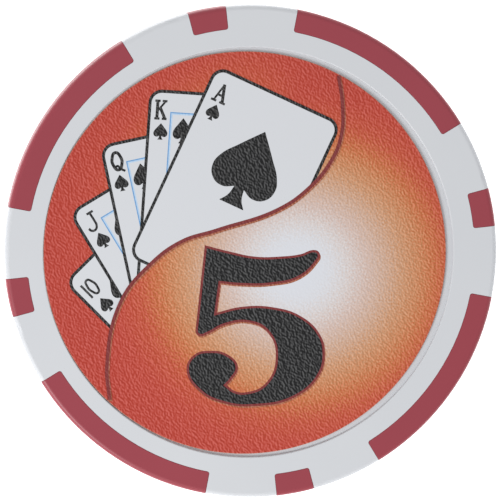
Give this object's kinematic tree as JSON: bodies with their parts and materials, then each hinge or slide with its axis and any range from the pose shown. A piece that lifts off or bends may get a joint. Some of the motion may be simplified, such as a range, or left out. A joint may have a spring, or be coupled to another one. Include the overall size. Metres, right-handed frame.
{
  "type": "ball marker",
  "caption": "Weighted round chip used as a golf ball marker, with coloured edge spots and a printed, embossed label in a shallow recess on each face.",
  "frame": {"origin": "centre of the back face, on the surface that the chip lies on", "axes": "+Z along the chip's axis, out of the front face; +Y towards the top of the front label's numeral"},
  "size_m": [0.039, 0.039, 0.0033],
  "materials": {
    "body_white_abs": "matte",
    "spot_red_abs": "matte",
    "slug_steel": "satin",
    "label_film": "satin",
    "label_laminate": "satin",
    "label_adhesive": "satin"
  },
  "bodies": {
    "root": {"body": "body_white_abs", "weight_slug": "slug_steel", "long_spot_1": "spot_red_abs", "long_spot_2": "spot_red_abs", "long_spot_3": "spot_red_abs", "long_spot_4": "spot_red_abs", "short_spot_1": "spot_red_abs", "short_spot_2": "spot_red_abs", "short_spot_3": "spot_red_abs", "short_spot_4": "spot_red_abs", "front_label_adhesive": "label_adhesive", "front_label_film": "label_film", "front_label_laminate": "label_laminate", "back_label_adhesive": "label_adhesive", "back_label_film": "label_film", "back_label_laminate": "label_laminate"}
  },
  "joints": []
}
